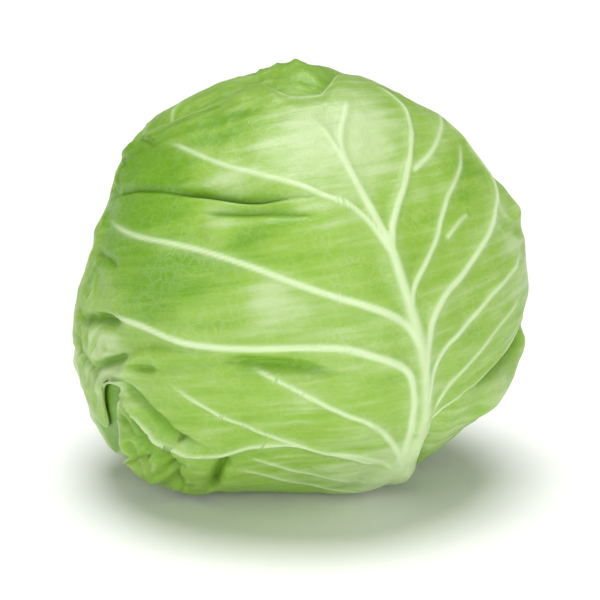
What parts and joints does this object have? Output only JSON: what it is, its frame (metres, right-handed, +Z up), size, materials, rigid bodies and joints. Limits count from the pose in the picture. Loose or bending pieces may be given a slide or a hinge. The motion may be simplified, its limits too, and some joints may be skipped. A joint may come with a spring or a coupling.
{
  "type": "cabbage head",
  "caption": "Round green cabbage head: veined outer leaves wrap a firm ball on a short cut stem, and it rests on its flattened base.",
  "frame": {"origin": "centre of the stem's cut face, on the surface that the head stands on", "axes": "+Z up from the cut stem to the crown, -Y towards the middle of the front leaf, +X to its right"},
  "size_m": [0.1794, 0.172, 0.1695],
  "materials": {
    "outer_leaf": "waxy satin",
    "head": "waxy satin"
  },
  "bodies": {
    "root": {"front_leaf": "outer_leaf", "back_leaf": "outer_leaf", "left_leaf": "outer_leaf", "right_leaf": "outer_leaf", "head": "head"}
  },
  "joints": []
}
